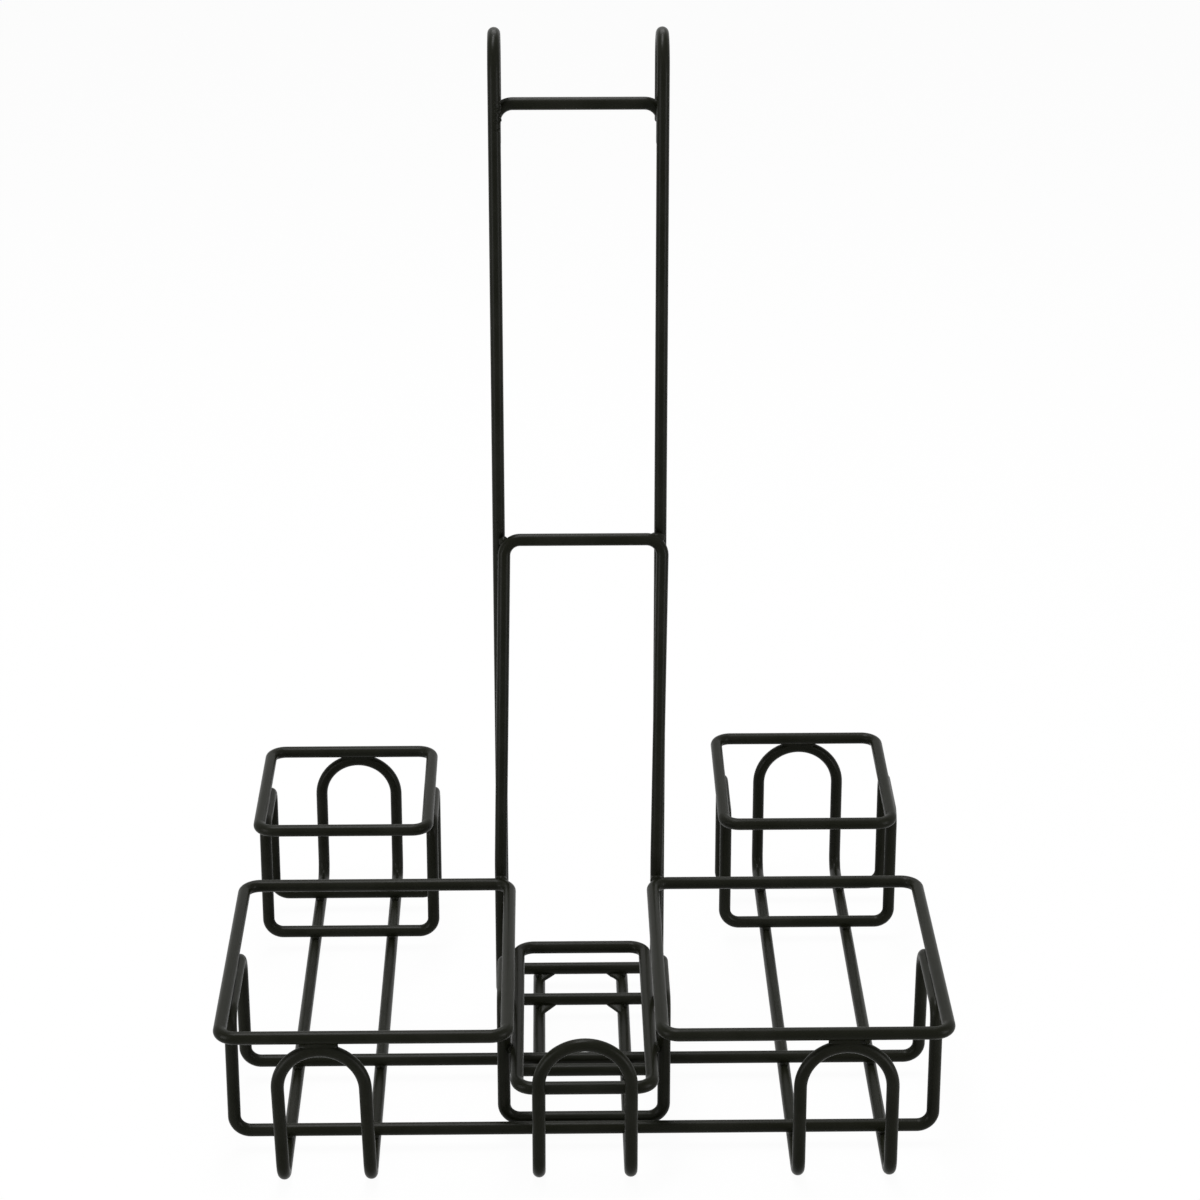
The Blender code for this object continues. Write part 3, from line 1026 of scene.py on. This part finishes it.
def aim(location, target):
    """The turn that points a camera or a lamp at a place."""
    return (Vector(target) - Vector(location)).to_track_quat("-Z", "Y").to_euler()


def add_lamp(name, power, width, depth, place, target):
    """A flat soft lamp."""
    lamp = bpy.data.lights.new(name, "AREA")
    lamp.shape = "RECTANGLE"
    lamp.size = width
    lamp.size_y = depth
    lamp.energy = power
    thing = bpy.data.objects.new(name, lamp)
    thing.location = place
    thing.rotation_euler = aim(place, target)
    bpy.context.scene.collection.objects.link(thing)


class CADDY_OT_stage(bpy.types.Operator):
    """Set up the camera, the floor, the room and the lamps."""

    bl_idname = "caddy.stage"
    bl_label = "Stage"

    def execute(self, context):
        studio = context.scene.caddy_studio
        self.add_camera(context, studio)
        self.add_floor(studio)
        self.light_room(context, studio)
        for name, power, width, depth, place, target in LAMPS:
            add_lamp(name, getattr(studio, power), width, depth, place, target)
        return {"FINISHED"}

    @staticmethod
    def add_camera(context, studio):
        data = bpy.data.cameras.new("camera")
        data.sensor_fit = "HORIZONTAL"
        data.sensor_width = 36.0
        data.lens = studio.lens
        data.clip_end = 30.0
        camera = bpy.data.objects.new("camera", data)
        camera.location = studio.camera_place
        camera.rotation_euler = (math.pi / 2 - studio.camera_pitch, 0.0, -studio.camera_yaw)
        context.scene.collection.objects.link(camera)
        context.scene.camera = camera

    @staticmethod
    def add_floor(studio):
        mesh = bmesh.new()
        bmesh.ops.create_grid(mesh, x_segments=2, y_segments=2, size=studio.floor_size / 2)
        shape = bpy.data.meshes.new("floor")
        mesh.to_mesh(shape)
        mesh.free()
        material = bpy.data.materials.new("studio_floor")
        material.use_nodes = True
        nodes = Nodes(material.node_tree)
        seen = nodes.add("ShaderNodeLightPath", output="Is Camera Ray")
        gloss = nodes.add("ShaderNodeLightPath", output="Is Glossy Ray")
        through = nodes.add("ShaderNodeLightPath", output="Is Transmission Ray")
        glow = nodes.add("ShaderNodeEmission", None, {"Color": (1.0, 1.0, 1.0, 1.0)})
        matt = nodes.add("ShaderNodeBsdfDiffuse", None, {"Color": opaque(studio.floor_colour)})
        share = (seen + gloss + through) * studio.floor_glow
        mixed = nodes.add("ShaderNodeMixShader", None, {0: share, 1: matt, 2: glow})
        nodes.add("ShaderNodeOutputMaterial", None, {"Surface": mixed})
        shape.materials.append(material)
        floor = bpy.data.objects.new("floor", shape)
        bpy.context.scene.collection.objects.link(floor)

    @staticmethod
    def light_room(context, studio):
        world = bpy.data.worlds.new("studio_room")
        world.use_nodes = True
        nodes = Nodes(world.node_tree)
        seen = nodes.add("ShaderNodeLightPath", output="Is Camera Ray")
        gloss = nodes.add("ShaderNodeLightPath", output="Is Glossy Ray")
        through = nodes.add("ShaderNodeLightPath", output="Is Transmission Ray")
        shown = seen + gloss + through
        strength = shown + (1.0 - shown) * studio.room_light
        backdrop = nodes.add("ShaderNodeBackground", None,
                             {"Color": (1.0, 1.0, 1.0, 1.0), "Strength": strength})
        nodes.add("ShaderNodeOutputWorld", None, {"Surface": backdrop})
        context.scene.world = world
        context.scene.view_settings.view_transform = "Standard"


STEPS = ("stage", "sleds", "rings", "cradles", "handle", "brace", "arch_welds", "bar_welds",
         "rail_welds", "centre_welds", "gussets", "frame_welds")


class CADDY_PT_panel(bpy.types.Panel):
    """Lists the sizes and the steps."""

    bl_idname = "CADDY_PT_panel"
    bl_label = "Condiment Caddy"
    bl_space_type = "VIEW_3D"
    bl_region_type = "UI"
    bl_category = "Caddy"

    def draw(self, context):
        for name in ("caddy_wire", "caddy_welds", "caddy_finish", "caddy_studio"):
            group = getattr(context.scene, name)
            box = self.layout.box()
            for key in group.__annotations__:
                box.prop(group, key)
        for step in STEPS:
            self.layout.operator("caddy." + step)


CLASSES = (CaddyWireSizes, CaddyWelds, CaddyFinish, CaddyStudio, CADDY_OT_sleds,
           CADDY_OT_rings, CADDY_OT_cradles, CADDY_OT_handle, CADDY_OT_brace,
           CADDY_OT_arch_welds, CADDY_OT_bar_welds, CADDY_OT_rail_welds, CADDY_OT_centre_welds,
           CADDY_OT_gussets, CADDY_OT_frame_welds, CADDY_OT_stage, CADDY_PT_panel)


def register():
    for item in CLASSES:
        bpy.utils.register_class(item)
    bpy.types.Scene.caddy_wire = bpy.props.PointerProperty(type=CaddyWireSizes)
    bpy.types.Scene.caddy_welds = bpy.props.PointerProperty(type=CaddyWelds)
    bpy.types.Scene.caddy_finish = bpy.props.PointerProperty(type=CaddyFinish)
    bpy.types.Scene.caddy_studio = bpy.props.PointerProperty(type=CaddyStudio)


def unregister():
    del bpy.types.Scene.caddy_studio
    del bpy.types.Scene.caddy_finish
    del bpy.types.Scene.caddy_welds
    del bpy.types.Scene.caddy_wire
    for item in reversed(CLASSES):
        bpy.utils.unregister_class(item)


def main():
    register()
    for step in STEPS:
        getattr(bpy.ops.caddy, step)()


if __name__ == "__main__":
    main()
